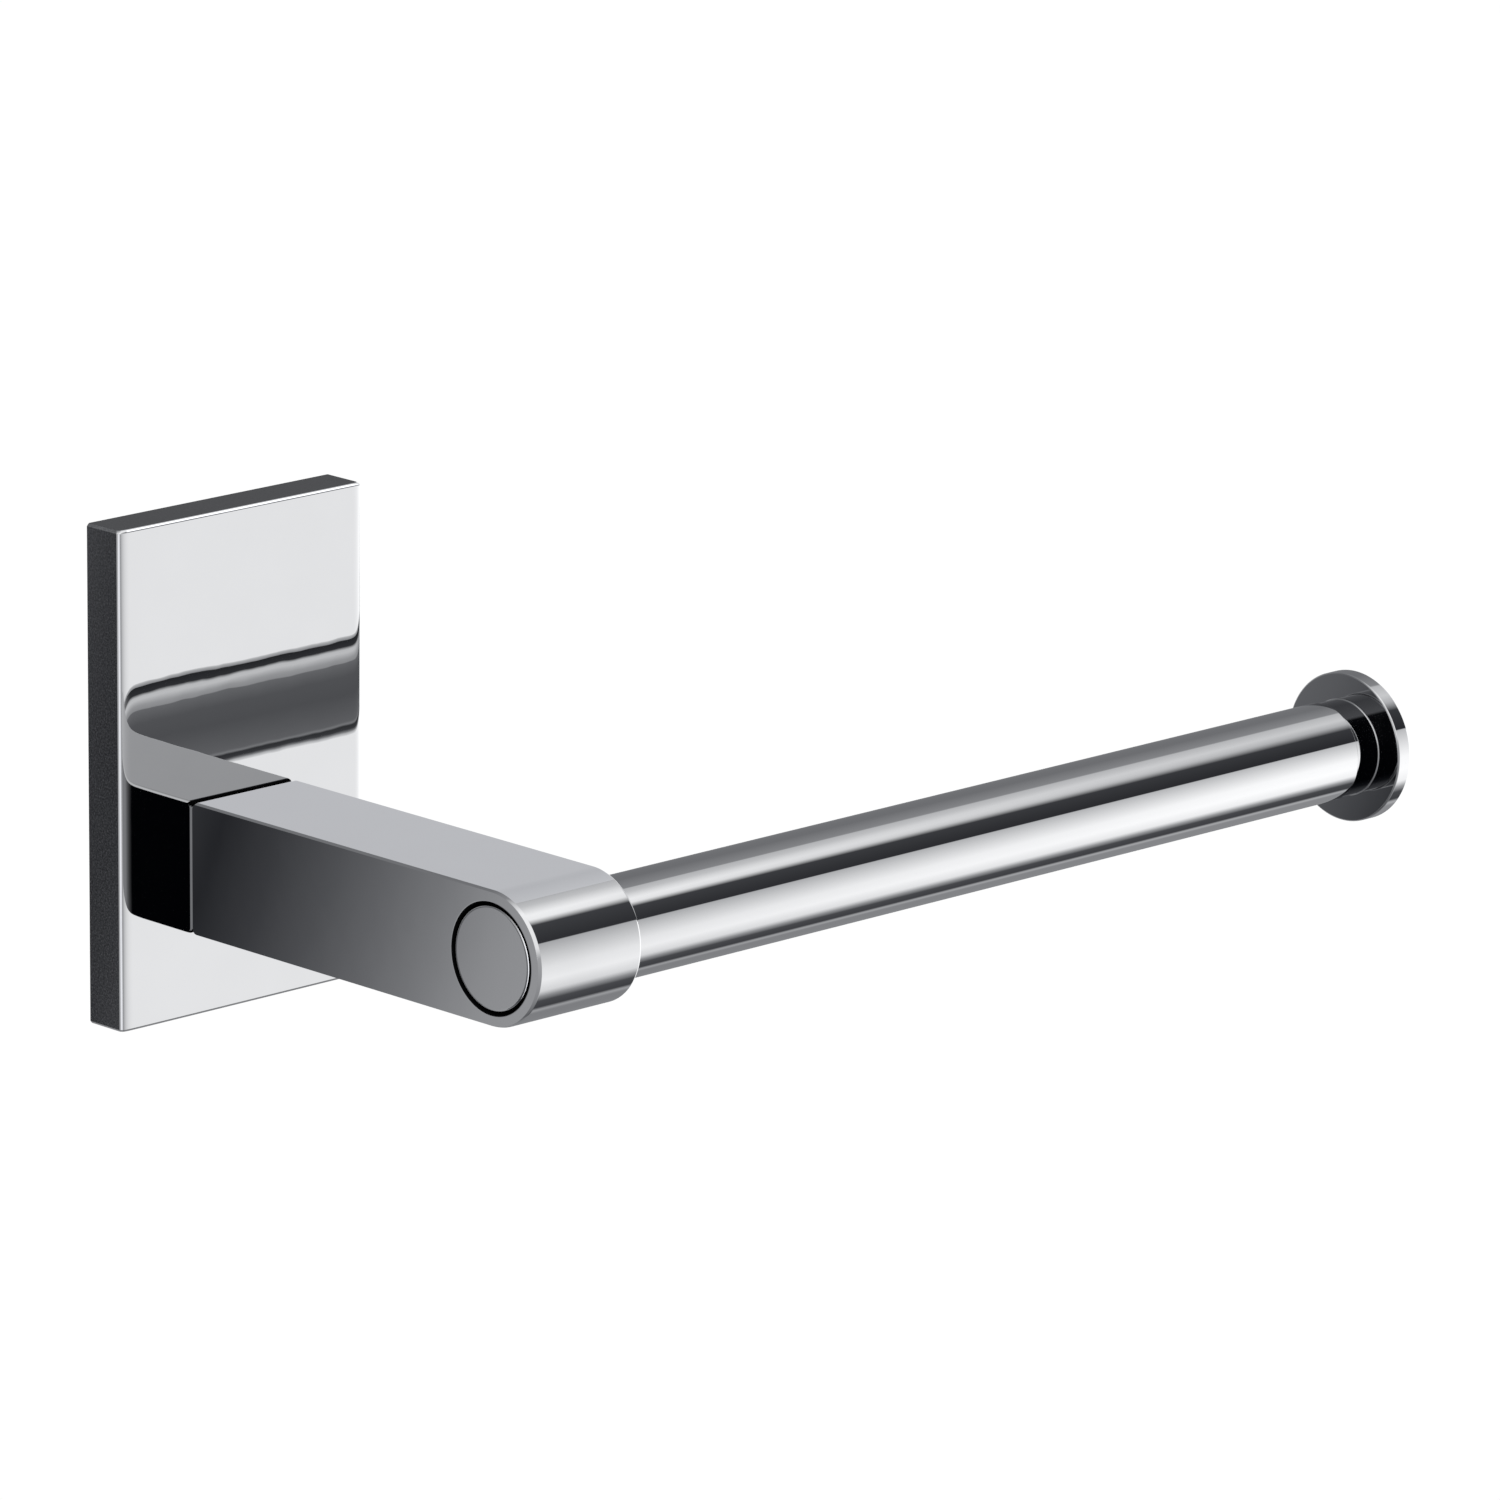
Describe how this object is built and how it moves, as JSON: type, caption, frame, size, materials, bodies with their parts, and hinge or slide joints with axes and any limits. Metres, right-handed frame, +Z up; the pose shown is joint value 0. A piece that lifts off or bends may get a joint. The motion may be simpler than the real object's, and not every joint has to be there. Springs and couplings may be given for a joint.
{
  "type": "toilet paper holder",
  "caption": "Wall-mounted toilet paper holder: rectangular chrome plate, square arm with a half-round end, and a turning round bar with an end disc.",
  "frame": {"origin": "centre of the wall plate, on the wall plane that its back rim touches", "axes": "+X along the round bar towards its end disc, +Y into the wall, +Z up"},
  "size_m": [0.1923, 0.0833, 0.075],
  "materials": {
    "plate_chrome": "bright polished chrome plate",
    "arm_chrome": "bright polished chrome plate",
    "cap_chrome": "bright polished chrome plate",
    "bar_chrome": "bright polished chrome plate with a few fine hairline scratches",
    "end_chrome": "bright polished chrome plate",
    "bracket_steel": "zinc-plated pressed steel",
    "bright_steel": "turned stainless steel",
    "black_steel": "black oxide screw steel",
    "brass": "turned brass",
    "nylon": "moulded nylon"
  },
  "bodies": {
    "wall_mount": {"wall_bracket": "bracket_steel", "wall_plate": "plate_chrome", "arm": "arm_chrome", "arm_screw_left": "black_steel", "arm_screw_right": "black_steel", "arm_washer_left": "bright_steel", "arm_washer_right": "bright_steel", "bush_left": "nylon", "bush_right": "nylon"},
    "bar": {"head_cap": "cap_chrome", "circlip": "bright_steel", "spindle_washer": "bright_steel", "spindle": "bright_steel", "tube_plug_inner": "brass", "bar_tube": "bar_chrome", "tube_plug_outer": "brass", "end_stud": "bright_steel", "end_collar": "end_chrome", "end_disc": "end_chrome"},
    "lock": {"lock_screw": "black_steel"}
  },
  "joints": [
    {"name": "bar_spin", "type": "hinge", "parent": "wall_mount", "child": "bar", "pos_m": [0, -0.0717, -0.0151], "axis": [1, 0, 0], "continuous": true},
    {"name": "lock_screw_travel", "type": "slide", "parent": "wall_mount", "child": "lock", "axis": [0, 0, -1], "range_m": [0, 0.0036]}
  ]
}
